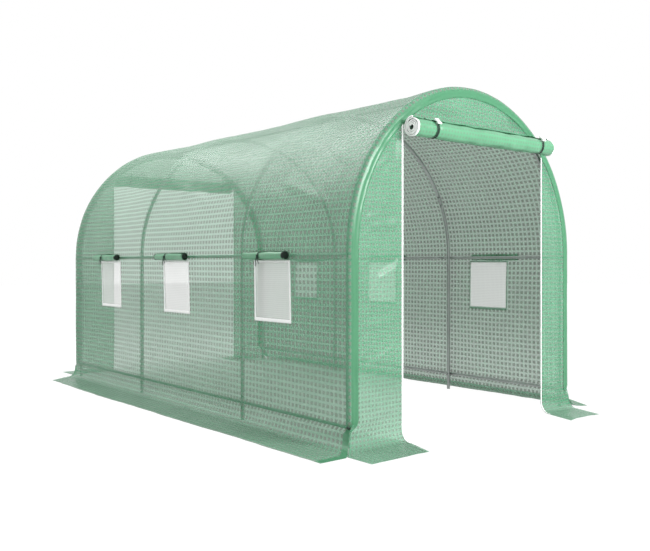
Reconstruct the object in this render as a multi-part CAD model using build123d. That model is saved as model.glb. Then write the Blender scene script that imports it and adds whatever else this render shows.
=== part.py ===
from build123d import *
import math
import os

# Walk-in polytunnel greenhouse: steel hoops and rails under a woven film cover, an open
# doorway at each end with its door rolled up over it, and three net windows a side.
# Millimetres. X runs across, Y from the front end to the rear, Z up. The origin is on the
# ground in the middle of the plan. The left wall is at -X and the front end at -Y.

os.makedirs("parts", exist_ok=True)

# Overall sizes, over the cover
tunnel_width = 2000.0
tunnel_length = 3600.0
springing = 1035.0

# Cover, thicker than the real film so that it is a sound solid
film = 3.0
fit_gap = 0.3

# Steel tubes, drawn with flats that lie inside the round, and where the hoops stand
hoop_tube = 25.0
rail_tube = 20.0
tube_sides = 10
end_setback = 48.0
front_bay = 1000.0
rear_bay = 1140.0

# Rails
lower_rail_height = 117.0
middle_rail_height = 1022.0
rail_overhang = 36.0
rail_swage = 2.0
rail_swage_length = 40.0
rail_joint_offset = 90.0
cap_wall = 1.5
cap_length = 14.0

# Hoop joints: the crown section plugs into a swollen sleeve on each side section
joint_angle = 28.0
sleeve_swell = 1.5
sleeve_length = 60.0
spigot_step = 1.6

# Doorways and their rolled doors. The cover hangs so that the front doorway is off the middle.
door_width = 1280.0
front_door_shift = 38.0
door_height = 1750.0
roll_radius = 57.0
roll_core = 8.0
roll_turns = 4
roll_length = 1270.0
roll_drop = 24.0
strap_width = 26.0
strap = 1.5
strap_sides = 16
strap_inset_left = 167.0
strap_inset_right = 123.0
strap_rise = 45.0
clip_width = 36.0
clip_height = 20.0
clip_depth = 9.0
clip_waist = 10.0
zip_width = 14.0
zip_depth = 2.0

# Windows, by the distance of each centre from the front end
window_width = 332.0
window_height = 331.0
window_sill = 654.0
front_window = 687.0
middle_window = 1828.0
rear_window = 2880.0
net = 1.5
edging_width = 14.0
edging = 1.5
flap_radius = 26.0
flap_core = 6.0
flap_turns = 2
fold_sides = 8
flap_length = 415.0
flap_rise = 11.0
flap_shift = 30.0
tie_width = 8.0
tie = 1.2
tie_sides = 8
tie_shift = 40.0
tie_drop = 70.0

# Ground skirt, as the reach of each flap and the drift of its outer edge
skirt_reach = 290.0
skirt_drift = 95.0
corner_notch = 120.0

# Derived sizes
half_width = tunnel_width / 2
half_length = tunnel_length / 2
skin_inside = half_width - film
cap_radius = rail_tube / 2 + fit_gap + cap_wall
rail_line = skin_inside - fit_gap - cap_radius
hoop_line = rail_line - rail_tube / 2 - fit_gap - hoop_tube / 2
wall_foot = film + fit_gap
hoop_stations = (
    -half_length + end_setback,
    -half_length + end_setback + front_bay,
    half_length - end_setback - rear_bay,
    half_length - end_setback,
)
window_stations = (
    front_window - half_length,
    middle_window - half_length,
    rear_window - half_length,
)
roll_line = half_length + fit_gap + strap + fit_gap + roll_radius
roll_height = door_height - roll_drop
clip_angle = 2 * 360 / strap_sides
flap_line = half_width + fit_gap + tie + fit_gap + flap_radius
flap_height = window_sill + window_height + flap_rise + flap_radius
end_shifts = {"front": front_door_shift, "rear": 0.0}


def save(name, *pieces):
    """Write the pieces of one node."""
    export_step(Compound(label=name, children=list(pieces)), f"parts/{name}.step")


def along_y(sketch, low, high):
    """Extrude a sketch drawn in X and Z from one station to another."""
    plane = Plane(origin=(0, high, 0), x_dir=(1, 0, 0), z_dir=(0, -1, 0))
    return extrude(plane * sketch, amount=high - low)


def along_x(sketch, low, high):
    """Extrude a sketch drawn in Y and Z from one side to another."""
    plane = Plane(origin=(low, 0, 0), x_dir=(0, 1, 0), z_dir=(1, 0, 0))
    return extrude(plane * sketch, amount=high - low)


def block(low, high):
    """A box between two corners."""
    size = [b - a for a, b in zip(low, high)]
    middle = [(a + b) / 2 for a, b in zip(low, high)]
    return Pos(*middle) * Box(*size)


def mirrored(pieces, plane):
    """The pieces on the other side of a plane."""
    return [mirror(piece, about=plane) for piece in pieces]


def at_end(end, pieces):
    """Pieces drawn at the front, or their like at the rear."""
    return pieces if end == "front" else mirrored(pieces, Plane.XZ)


def arc_degrees(length):
    """The angle that a length takes along the hoop's centre line."""
    return math.degrees(length / hoop_line)


def tube_section(radius):
    """Section of a tube, with a corner towards each side."""
    return RegularPolygon(radius, tube_sides)


def curved_tube(radius, start, end, station):
    """Tube along the hoop's arch, by angles up from the +X side."""
    axis = Axis((0, station, springing), (0, -1, 0))
    section = Plane(origin=(hoop_line, station, springing)) * tube_section(radius)
    return revolve(section, axis=axis, revolution_arc=end - start).rotate(axis, start)


def hoop(station):
    """Two side sections of one hoop and the crown that plugs into their sleeves."""
    radius = hoop_tube / 2
    spigot = radius - spigot_step
    leg = extrude(Plane(origin=(hoop_line, station, 0)) * tube_section(radius), amount=springing)
    sleeve_start = joint_angle - arc_degrees(sleeve_length)
    side = leg + curved_tube(radius, 0, sleeve_start, station)
    side = side + curved_tube(radius + sleeve_swell, sleeve_start, joint_angle, station)
    side = side - curved_tube(spigot + fit_gap, sleeve_start, joint_angle + 1, station)
    crown_start = joint_angle + arc_degrees(fit_gap)
    crown = curved_tube(radius, crown_start, 180 - crown_start, station)
    plug_start = sleeve_start + arc_degrees(fit_gap)
    plug = curved_tube(spigot, plug_start, crown_start, station)
    crown = crown + plug + mirror(plug, about=Plane.YZ)
    return [side, mirror(side, about=Plane.YZ), crown]


def straight_tube(place_of, radius, low, high):
    """Tube along the tunnel from one station to another."""
    x, z = place_of
    return along_y(Pos(x, z) * tube_section(radius), low, high)


def rail(place_of):
    """Three lengths of one rail, each with a spigot that plugs into the next."""
    first = hoop_stations[0] - rail_overhang
    last = hoop_stations[3] + rail_overhang
    joints = [hoop_stations[1] + rail_joint_offset, hoop_stations[2] + rail_joint_offset]
    radius = rail_tube / 2
    spigot = radius - rail_swage
    lengths = []
    for low, high in zip([first] + joints, joints + [last]):
        end = high - fit_gap
        tube = straight_tube(place_of, radius, low, end)
        if high != last:
            tube = tube + straight_tube(place_of, spigot, end, high + rail_swage_length)
        if low != first:
            depth = rail_swage_length + fit_gap
            tube = tube - straight_tube(place_of, spigot + fit_gap, low - fit_gap, low + depth)
        lengths.append(tube)
    return lengths


def rail_caps(place_of):
    """Plastic cups over the two ends of one rail."""
    inner = cap_radius - cap_wall
    cups = []
    for end, way in ((hoop_stations[0] - rail_overhang, 1), (hoop_stations[3] + rail_overhang, -1)):
        seat = end - way * fit_gap
        back = seat - way * cap_wall
        mouth = back + way * cap_length
        cup = straight_tube(place_of, cap_radius, min(back, mouth), max(back, mouth))
        cups.append(cup - straight_tube(place_of, inner, min(seat, mouth), max(seat, mouth)))
    return cups


rail_places = {
    "ridge_rail": (0, springing + rail_line),
    "left_middle_rail": (-rail_line, middle_rail_height),
    "right_middle_rail": (rail_line, middle_rail_height),
    "left_lower_rail": (-rail_line, lower_rail_height),
    "right_lower_rail": (rail_line, lower_rail_height),
}


def scroll(outer, core, sheet, turns):
    """Section of a rolled sheet, in half turns that each close in by half a pitch."""
    step = (outer - core) / (2 * turns)
    edges = []
    for half in range(2 * turns):
        hand = 1 if half % 2 == 0 else -1
        reach = outer - half * step
        centre = hand * step / 2
        for thickness in (0, sheet):
            start = (hand * (reach - thickness), 0)
            finish = (-hand * (reach - step - thickness), 0)
            top = (centre, hand * (reach - step / 2 - thickness))
            edges.append(ThreePointArc(start, top, finish))
    end_reach = outer - 2 * turns * step
    edges.append(Line((outer, 0), (outer - sheet, 0)))
    edges.append(Line((end_reach, 0), (end_reach - sheet, 0)))
    return make_face(edges)


def folded_scroll(outer, core, sheet, turns):
    """The same roll drawn in short flats, for the small flaps."""
    count = turns * fold_sides
    outside = []
    inside = []
    for index in range(count + 1):
        reach = outer - (outer - core) * index / count
        angle = math.radians(index * 360 / fold_sides)
        outside.append((reach * math.cos(angle), reach * math.sin(angle)))
        inside.append(((reach - sheet) * math.cos(angle), (reach - sheet) * math.sin(angle)))
    return make_face(Polyline(*outside, *reversed(inside), close=True))


def roof_strip(start, end):
    """One strip of the roof skin, between two angles up from the +X side."""
    sweep_angle = end - start - math.degrees(fit_gap / half_width)
    outer = CenterArc((0, 0), half_width, start, sweep_angle)
    inner = CenterArc((0, 0), skin_inside, start, sweep_angle)
    section = make_face([outer, inner, Line(outer @ 0, inner @ 0), Line(outer @ 1, inner @ 1)])
    return along_y(Pos(0, springing) * section, -half_length, half_length)


def wall_cover():
    """Left wall skin with its window openings."""
    wall = block(
        (-half_width, -half_length, wall_foot),
        (-skin_inside, half_length, springing),
    )
    for station in window_stations:
        wall = wall - block(
            (-half_width - film, station - window_width / 2, window_sill),
            (-skin_inside + film, station + window_width / 2, window_sill + window_height),
        )
    return wall


def end_outline():
    """The whole end of the tunnel inside the wall and roof skins."""
    reach = skin_inside - fit_gap
    height = springing - wall_foot
    lower = Pos(0, wall_foot + height / 2) * Rectangle(2 * reach, height)
    return lower + Pos(0, springing) * Circle(reach) - Pos(0, -reach) * Rectangle(
        3 * reach, 2 * (reach + wall_foot)
    )


def end_panels(shift):
    """Left, right and gable panels of one end, round its doorway."""
    outline = end_outline()
    tall = tunnel_width + tunnel_length
    zones = []
    for side in (-1, 1):
        middle = shift + side * (door_width + tall) / 2
        zones.append(Pos(middle, door_height / 2) * Rectangle(tall, door_height))
    top_foot = door_height + fit_gap
    zones.append(Pos(0, top_foot + tall / 2) * Rectangle(tall, tall))
    return [along_y(outline & zone, -half_length, -half_length + film) for zone in zones]


def door_roll(shift):
    """One door's film rolled up tight above its doorway."""
    section = scroll(roll_radius, roll_core, film, roll_turns)
    turned = Pos(-roll_line, roll_height) * Rot(Z=90) * section
    return along_x(turned, shift - roll_length / 2, shift + roll_length / 2)


def strap_stations(shift):
    """Where the two straps hold one roll, across the tunnel."""
    left = shift - roll_length / 2 + strap_inset_left
    return (left, shift + roll_length / 2 - strap_inset_right)


def flat_loop(inner, thickness, sides):
    """Band round a roll, its flats clear of the roll's radius and one flat facing each way."""
    outer = RegularPolygon(inner + thickness, sides, major_radius=False)
    loop = outer - RegularPolygon(inner, sides, major_radius=False)
    return Rot(Z=180 / sides) * loop


def door_strap(place):
    """Strap round one roll, with its tail up the gable."""
    inner = roll_radius + fit_gap
    loop = flat_loop(inner, strap, strap_sides)
    reach = roll_radius + strap_rise
    tail = Pos(inner + strap / 2, reach / 2) * Rectangle(strap, reach)
    section = Pos(-roll_line, roll_height) * (loop + tail)
    return along_x(section, place - strap_width / 2, place + strap_width / 2)


def strap_clip(place):
    """Waisted toggle on the strap, flat on the loop's second side up from the front."""
    turn = math.radians(clip_angle)
    way = (0, -math.cos(turn), math.sin(turn))
    reach = roll_radius + fit_gap + strap + fit_gap
    seat = (place, -roll_line + reach * way[1], roll_height + reach * way[2])
    wing = clip_width / 2
    waist = clip_waist / 2
    top = clip_height / 2
    corner = top / 2
    outline = Polyline(
        (0, waist), (wing - corner, top), (wing, corner), (wing, -corner), (wing - corner, -top),
        (0, -waist), (corner - wing, -top), (-wing, -corner), (-wing, corner),
        (corner - wing, top), close=True,
    )
    face = Plane(origin=seat, x_dir=(1, 0, 0), z_dir=way) * make_face(outline)
    return extrude(face, amount=clip_depth)


def door_zip(side, shift):
    """Zip tape down one edge of a doorway."""
    low = shift + side * door_width / 2
    high = low + side * zip_width
    front = -half_length - fit_gap - zip_depth
    return block(
        (min(low, high), front, wall_foot),
        (max(low, high), front + zip_depth, door_height),
    )


def window_net(station):
    """Insect net that fills one left window."""
    middle = -(half_width + skin_inside) / 2
    return block(
        (middle - net / 2, station - window_width / 2 + fit_gap, window_sill + fit_gap),
        (
            middle + net / 2,
            station + window_width / 2 - fit_gap,
            window_sill + window_height - fit_gap,
        ),
    )


def window_edging(station):
    """Tape frame sewn round one left window."""
    outer = Rectangle(window_width + 2 * edging_width, window_height + 2 * edging_width)
    frame = Pos(station, window_sill + window_height / 2) * (
        outer - Rectangle(window_width, window_height)
    )
    face = -half_width - fit_gap
    return along_x(frame, face - edging, face)


def window_flap(station, shift):
    """Flap of one left window rolled up over its net."""
    rolled = folded_scroll(flap_radius, flap_core, film, flap_turns)
    section = Pos(-flap_line, flap_height) * Rot(Z=90) * rolled
    middle = station + shift
    return along_y(section, middle - flap_length / 2, middle + flap_length / 2)


def window_tie(station, shift):
    """Tie round one rolled flap, with one end hanging in front of the net."""
    inner = flap_radius + fit_gap
    loop = flat_loop(inner, tie, tie_sides)
    tail = Pos(-inner - tie / 2, -tie_drop / 2) * Rectangle(tie, tie_drop)
    section = Pos(-flap_line, flap_height) * (loop + tail)
    middle = station + shift
    return along_y(section, middle - tie_width / 2, middle + tie_width / 2)


def ground_flap(*corners):
    """Film lying flat on the ground inside an outline."""
    return extrude(make_face(Polyline(*corners, close=True)), amount=film)


# Frame
hoop_names = ("front_hoop", "second_hoop", "third_hoop", "rear_hoop")
for hoop_name, hoop_station in zip(hoop_names, hoop_stations):
    save(hoop_name, *hoop(hoop_station))
for rail_name, rail_place in rail_places.items():
    save(rail_name, *rail(rail_place))
save("rail_end_caps", *[cup for place in rail_places.values() for cup in rail_caps(place)])

# Cover
left_wall = wall_cover()
save("left_wall_cover", left_wall)
save("right_wall_cover", mirror(left_wall, about=Plane.YZ))
roof_names = ("right_roof_cover", "roof_crown_cover", "left_roof_cover")
roof_start = math.degrees(fit_gap / half_width)
roof_sweep = (180 - roof_start) / len(roof_names)
for place, roof_name in enumerate(roof_names):
    start = roof_start + place * roof_sweep
    save(roof_name, roof_strip(start, start + roof_sweep))
for end_name, end_shift in end_shifts.items():
    panels = at_end(end_name, end_panels(end_shift))
    for panel_name, panel in zip(("left_panel", "right_panel", "gable"), panels):
        save(f"{end_name}_{panel_name}", panel)

# Ground skirt
side_foot = skin_inside
side_tip = half_width + skirt_reach
end_tip = half_length + skirt_reach
end_foot = half_length + fit_gap
left_skirt = ground_flap(
    (-side_foot, -half_length),
    (-side_tip + corner_notch, -half_length - corner_notch),
    (-side_tip, -half_length - corner_notch),
    (-side_tip, half_length - skirt_drift),
    (-side_foot, half_length),
)
right_skirt = ground_flap(
    (side_foot, -half_length),
    (side_tip - corner_notch, -half_length),
    (side_tip, -half_length + 2 * corner_notch),
    (side_tip, half_length - skirt_drift),
    (side_foot, half_length),
)
save("left_ground_skirt", left_skirt)
save("right_ground_skirt", right_skirt)


def end_flaps(side, shift):
    """Flaps before the two panels of one end, their outer edges drifting to one side."""
    flaps = []
    door_edges = (shift - door_width / 2, shift + door_width / 2)
    for inner, outer in ((-side_foot, door_edges[0]), (door_edges[1], side_foot)):
        flaps.append(
            ground_flap(
                (inner, side * end_foot),
                (outer, side * end_foot),
                (outer - skirt_drift, side * end_tip),
                (inner - skirt_drift, side * end_tip),
            )
        )
    return flaps


save("front_ground_skirts", *end_flaps(-1, end_shifts["front"]))
save("rear_ground_skirts", *end_flaps(1, end_shifts["rear"]))

# Doors
clips = []
for end_name, end_shift in end_shifts.items():
    places = strap_stations(end_shift)
    save(f"{end_name}_door_roll", *at_end(end_name, [door_roll(end_shift)]))
    save(f"{end_name}_door_straps", *at_end(end_name, [door_strap(place) for place in places]))
    clips += at_end(end_name, [strap_clip(place) for place in places])
    zips = [door_zip(side, end_shift) for side in (-1, 1)]
    save(f"{end_name}_door_zips", *at_end(end_name, zips))
save("strap_clips", *clips)

# Windows. A flap's roll lies off its window's centre to the left, as seen from outside.
left_nets = [window_net(station) for station in window_stations]
save("left_window_nets", *left_nets)
save("right_window_nets", *mirrored(left_nets, Plane.YZ))
left_edgings = [window_edging(station) for station in window_stations]
save("left_window_edging", *left_edgings)
save("right_window_edging", *mirrored(left_edgings, Plane.YZ))
for side_name, side_shift in (("left", 1), ("right", -1)):
    rolls = [window_flap(station, side_shift * flap_shift) for station in window_stations]
    ties = [
        window_tie(station, side_shift * (flap_shift + tie_shift)) for station in window_stations
    ]
    if side_name == "right":
        rolls = mirrored(rolls, Plane.YZ)
        ties = mirrored(ties, Plane.YZ)
    save(f"{side_name}_window_flaps", *rolls)
    save(f"{side_name}_window_ties", *ties)
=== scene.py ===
"""Looks of a walk-in polytunnel greenhouse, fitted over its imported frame.

Metres, in the frame's own axes: X across, Y from the front end to the rear, Z up. The
origin is on the ground in the middle of the plan, and the left wall is at -X. Every cloth
piece is first a flat cut, then it is hung by a function that takes a place on the cut to a
point in the tunnel, so that tapes, nets and zips follow the cloth that they are sewn to.
"""

import logging
import math
from collections.abc import Callable, Sequence
from dataclasses import dataclass, field
from enum import Enum

import bmesh
import bpy
from mathutils import Matrix, Vector, noise


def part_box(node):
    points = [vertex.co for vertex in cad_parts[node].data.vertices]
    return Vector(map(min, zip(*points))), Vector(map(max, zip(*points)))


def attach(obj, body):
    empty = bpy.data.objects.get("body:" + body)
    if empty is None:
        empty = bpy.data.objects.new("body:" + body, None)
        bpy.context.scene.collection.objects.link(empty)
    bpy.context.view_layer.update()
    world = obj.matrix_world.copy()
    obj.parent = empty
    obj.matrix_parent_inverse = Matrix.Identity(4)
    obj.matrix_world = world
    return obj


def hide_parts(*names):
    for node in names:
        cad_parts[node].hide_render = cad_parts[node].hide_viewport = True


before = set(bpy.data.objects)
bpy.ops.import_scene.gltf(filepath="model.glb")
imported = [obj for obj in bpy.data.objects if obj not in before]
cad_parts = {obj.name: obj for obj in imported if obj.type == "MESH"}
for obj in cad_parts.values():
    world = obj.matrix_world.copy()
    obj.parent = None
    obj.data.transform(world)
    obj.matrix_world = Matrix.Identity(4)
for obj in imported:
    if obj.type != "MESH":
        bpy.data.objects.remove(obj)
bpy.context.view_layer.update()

log = logging.getLogger("polytunnel")

Flat = tuple[float, float]
Hang = Callable[[float, float, float], Vector]
Path = Callable[[float], tuple[Vector, Vector, Vector]]
CUT_MAP = "cut"
HOOP_TUBE = 0.025
RAIL_TUBE = 0.020
HOOPS = ("front_hoop", "second_hoop", "third_hoop", "rear_hoop")
UP = Vector((0.0, 0.0, 1.0))


class Named(Enum):
    """A choice whose name is also part of the names of nodes and pieces."""

    @property
    def word(self) -> str:
        """The name in small letters."""
        return self.name.lower()


class Side(Named):
    """The two long sides, as the sign of X."""

    LEFT = -1
    RIGHT = 1


class End(Named):
    """The two ends, as the sign of Y."""

    FRONT = -1
    REAR = 1


class Slot(Enum):
    """The record's material slots."""

    FILM = "woven_film"
    STEEL = "galvanised_tube"
    TAPE = "white_tape"
    NET = "insect_net"
    WEBBING = "dark_webbing"
    WHITE_PLASTIC = "white_plastic"
    DARK_PLASTIC = "dark_plastic"


def linear(code: str) -> tuple[float, float, float, float]:
    """Turn an sRGB hex colour into linear red, green, blue and alpha.

    Args:
        code: six hex digits after a hash mark.

    Returns:
        The four channels, with an alpha of 1.
    """
    parts = [int(code[place:place + 2], 16) / 255 for place in (1, 3, 5)]
    toe = 0.04045
    scaled = [p / 12.92 if p <= toe else ((p + 0.055) / 1.055) ** 2.4 for p in parts]
    return scaled[0], scaled[1], scaled[2], 1.0


def smooth(low: float, high: float, value: float) -> float:
    """Ease from 0 at one value to 1 at another.

    Args:
        low: value at which the result is 0.
        high: value at which the result is 1; it may be below low.
        value: where to read.

    Returns:
        The eased share from 0 to 1.
    """
    share = min(1.0, max(0.0, (value - low) / (high - low)))
    return share * share * (3 - 2 * share)


def lerp(start: float, end: float, share: float) -> float:
    """The value a share of the way from start to end."""
    return start + (end - start) * share


def add_node(
    tree: bpy.types.NodeTree,
    kind: str,
    inputs: dict[str | int, object] | None = None,
    **settings: object,
) -> bpy.types.Node:
    """Add one node with its settings, and its inputs as values or links.

    Args:
        tree: node tree that gets the node.
        kind: Blender's name for the node's type.
        inputs: an input's name or place, and its value or the socket that feeds it.
        settings: the node's own properties.

    Returns:
        The new node.
    """
    node = tree.nodes.new(kind)
    for name, value in settings.items():
        setattr(node, name, value)
    for name, value in (inputs or {}).items():
        if isinstance(value, bpy.types.NodeSocket):
            tree.links.new(value, node.inputs[name])
        else:
            node.inputs[name].default_value = value
    return node


def new_material(name: str) -> tuple[bpy.types.Material, bpy.types.NodeTree]:
    """Make an empty node material.

    Args:
        name: the finish's name.

    Returns:
        The material and its node tree.
    """
    material = bpy.data.materials.new(name)
    material.use_nodes = True
    material.node_tree.nodes.clear()
    return material, material.node_tree


def close_surface(tree: bpy.types.NodeTree, shader: bpy.types.NodeSocket) -> None:
    """Feed a shader to the material's output.

    Args:
        tree: the material's node tree.
        shader: the socket that gives the surface.
    """
    add_node(tree, "ShaderNodeOutputMaterial", {"Surface": shader})


@dataclass(frozen=True)
class WovenFilm:
    """Woven polyethylene film with a grid of heavier threads, laminated on both faces.

    The weave scatters light and lets about three tenths through, so the eye sees a cloudy
    green veil with the frame dim behind it. The threads are a clear green, and the squares
    between them are greyer. The lamination gives a soft shine that breaks up where the film
    was folded and crumpled.

    Attributes:
        name: the finish's name.
        thread: colour of the grid's threads.
        panel: colour of the squares between them.
        thread_cover: share of light that the threads stop.
        panel_cover: share of light that the squares stop.
        pitch: distance from thread to thread.
        thread_width: width of one thread's band.
        roughness: roughness of the lamination.
        crumple: depth of the fine crumpling.
        crumple_size: size of one crumpled facet.
        doubled: share of light that doubled film stops, at hems and seams.
        doubled_colour: colour of doubled film, deeper because less light comes through.
        layered: whether it is wound so thick that no light comes through.
    """

    name: str
    thread: str = "#62AF86"
    panel: str = "#7E8E7F"
    thread_cover: float = 0.62
    panel_cover: float = 0.86
    pitch: float = 0.035
    thread_width: float = 0.014
    roughness: float = 0.32
    crumple: float = 0.003
    crumple_size: float = 0.16
    doubled: float = 0.93
    doubled_colour: str = "#4C9169"
    layered: bool = False

    def material(self) -> bpy.types.Material:
        """Build the finish on the cut's own map, in metres."""
        material, tree = new_material(self.name)
        place = add_node(tree, "ShaderNodeUVMap", uv_map=CUT_MAP).outputs[0]
        axes = add_node(tree, "ShaderNodeSeparateXYZ", {0: place})
        bands = [self._band(tree, axes.outputs[axis]) for axis in (0, 1)]
        grid = add_node(
            tree, "ShaderNodeMath", {0: bands[0], 1: bands[1]}, operation="MAXIMUM"
        ).outputs[0]
        cloud = add_node(
            tree, "ShaderNodeTexNoise", {"Vector": place, "Scale": 3.5, "Detail": 3.0}
        ).outputs["Fac"]
        shade = add_node(
            tree, "ShaderNodeMapRange", {0: cloud, 1: 0.3, 2: 0.7, 3: 0.93, 4: 1.07}
        ).outputs[0]
        colour = add_node(
            tree,
            "ShaderNodeMix",
            {0: grid, 6: linear(self.panel), 7: linear(self.thread)},
            data_type="RGBA",
        ).outputs[2]
        toned = add_node(
            tree, "ShaderNodeHueSaturation", {"Value": shade, "Color": colour}
        ).outputs[0]
        cover = add_node(
            tree,
            "ShaderNodeMapRange",
            {0: grid, 3: one_face(self.panel_cover), 4: one_face(self.thread_cover)},
        ).outputs[0]
        hem = add_node(
            tree, "ShaderNodeAttribute", attribute_name="doubled"
        ).outputs["Fac"]
        deepened = add_node(
            tree,
            "ShaderNodeMix",
            {0: hem, 6: toned, 7: linear(self.doubled_colour)},
            data_type="RGBA",
        ).outputs[2]
        alpha = add_node(
            tree,
            "ShaderNodeMix",
            {0: hem, 2: cover, 3: one_face(self.doubled)},
            data_type="FLOAT",
        ).outputs[0]
        shader = add_node(
            tree,
            "ShaderNodeBsdfPrincipled",
            {
                "Base Color": deepened,
                "Roughness": self.roughness,
                "IOR": 1.5,
                "Alpha": 1.0 if self.layered else alpha,
                "Normal": self._relief(tree, place),
            },
        ).outputs[0]
        close_surface(tree, shader)
        return material

    def _band(
        self, tree: bpy.types.NodeTree, run: bpy.types.NodeSocket
    ) -> bpy.types.NodeSocket:
        """Draw the threads across one direction of the cut.

        Args:
            tree: the material's node tree.
            run: distance along the cut, in metres.

        Returns:
            A socket that is 1 on a thread and 0 between threads.
        """
        away = add_node(
            tree, "ShaderNodeMath", {0: run, 1: self.pitch / 2}, operation="PINGPONG"
        ).outputs[0]
        soft = self.thread_width * 0.18
        half = self.thread_width / 2
        return add_node(
            tree,
            "ShaderNodeMapRange",
            {0: away, 1: half - soft, 2: half + soft, 3: 1.0, 4: 0.0},
            interpolation_type="SMOOTHSTEP",
        ).outputs[0]

    def _relief(
        self, tree: bpy.types.NodeTree, place: bpy.types.NodeSocket
    ) -> bpy.types.NodeSocket:
        """Raise the crumpled facets.

        Args:
            tree: the material's node tree.
            place: place on the cut.

        Returns:
            The bumped normal.
        """
        warp = add_node(
            tree, "ShaderNodeTexNoise", {"Vector": place, "Scale": 6.0, "Detail": 2.0}
        ).outputs["Color"]
        bent = add_node(
            tree,
            "ShaderNodeVectorMath",
            {0: warp, 1: (0.12, 0.12, 0.0), 2: place},
            operation="MULTIPLY_ADD",
        ).outputs[0]
        facets = add_node(
            tree,
            "ShaderNodeTexVoronoi",
            {"Vector": bent, "Scale": 1 / self.crumple_size},
            feature="SMOOTH_F1",
        ).outputs["Distance"]
        return add_node(
            tree, "ShaderNodeBump", {"Height": facets, "Distance": self.crumple}
        ).outputs[0]


def one_face(cover: float) -> float:
    """Share that each face of a thin closed sheet stops, for what both stop together."""
    return 1 - math.sqrt(1 - cover)


@dataclass(frozen=True)
class PlainFinish:
    """An even material with a fine grain, such as moulded plastic, tape or steel.

    Attributes:
        name: the finish's name.
        colour: its colour.
        roughness: mean roughness.
        metallic: 1 for bare metal.
        grain: size of the grain, in metres.
        relief: depth of the grain, in metres.
        mottle: how far the roughness and value stray, as a share.
    """

    name: str
    colour: str
    roughness: float = 0.5
    metallic: float = 0.0
    grain: float = 0.002
    relief: float = 0.0001
    mottle: float = 0.12

    def material(self) -> bpy.types.Material:
        """Build the finish on object coordinates."""
        material, tree = new_material(self.name)
        place = add_node(tree, "ShaderNodeTexCoord").outputs["Object"]
        fine = add_node(
            tree, "ShaderNodeTexNoise", {"Vector": place, "Scale": 1 / self.grain}
        ).outputs["Fac"]
        broad = add_node(
            tree, "ShaderNodeTexNoise", {"Vector": place, "Scale": 0.05 / self.grain}
        ).outputs["Fac"]
        value = add_node(
            tree,
            "ShaderNodeMapRange",
            {0: broad, 1: 0.3, 2: 0.7, 3: 1 - self.mottle, 4: 1 + self.mottle / 2},
        ).outputs[0]
        colour = add_node(
            tree, "ShaderNodeHueSaturation", {"Value": value, "Color": linear(self.colour)}
        ).outputs[0]
        rough = add_node(
            tree,
            "ShaderNodeMapRange",
            {
                0: fine,
                1: 0.3,
                2: 0.7,
                3: self.roughness * (1 - self.mottle),
                4: self.roughness * (1 + self.mottle),
            },
        ).outputs[0]
        normal = add_node(
            tree, "ShaderNodeBump", {"Height": fine, "Distance": self.relief}
        ).outputs[0]
        shader = add_node(
            tree,
            "ShaderNodeBsdfPrincipled",
            {
                "Base Color": colour,
                "Roughness": rough,
                "Metallic": self.metallic,
                "Normal": normal,
            },
        ).outputs[0]
        close_surface(tree, shader)
        return material


@dataclass(frozen=True)
class InsectNet:
    """Knitted polyethylene insect net, white and half open.

    The eye sees a matt white veil, with what is behind it dim but in sight.

    Attributes:
        name: the finish's name.
        colour: colour of the threads.
        pitch: distance between rows, drawn coarser than the real 1.5 mm so that it shows.
        row_cover: share of light that a row stops.
        gap_cover: share of light stopped between rows.
    """

    name: str
    colour: str = "#F8FAF8"
    pitch: float = 0.012
    row_cover: float = 0.66
    gap_cover: float = 0.50

    def material(self) -> bpy.types.Material:
        """Build the finish on the cut's own map, in metres."""
        material, tree = new_material(self.name)
        place = add_node(tree, "ShaderNodeUVMap", uv_map=CUT_MAP).outputs[0]
        axes = add_node(tree, "ShaderNodeSeparateXYZ", {0: place})
        bands = []
        for axis in (0, 1):
            away = add_node(
                tree,
                "ShaderNodeMath",
                {0: axes.outputs[axis], 1: self.pitch / 2},
                operation="PINGPONG",
            ).outputs[0]
            bands.append(
                add_node(
                    tree, "ShaderNodeMapRange", {0: away, 2: self.pitch / 2, 3: 1.0, 4: 0.0}
                ).outputs[0]
            )
        rows = add_node(
            tree, "ShaderNodeMath", {0: bands[0], 1: bands[1]}, operation="MAXIMUM"
        ).outputs[0]
        alpha = add_node(
            tree,
            "ShaderNodeMapRange",
            {0: rows, 3: one_face(self.gap_cover), 4: one_face(self.row_cover)},
        ).outputs[0]
        shader = add_node(
            tree,
            "ShaderNodeBsdfPrincipled",
            {"Base Color": linear(self.colour), "Roughness": 0.7, "Alpha": alpha},
        ).outputs[0]
        close_surface(tree, shader)
        return material


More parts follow.
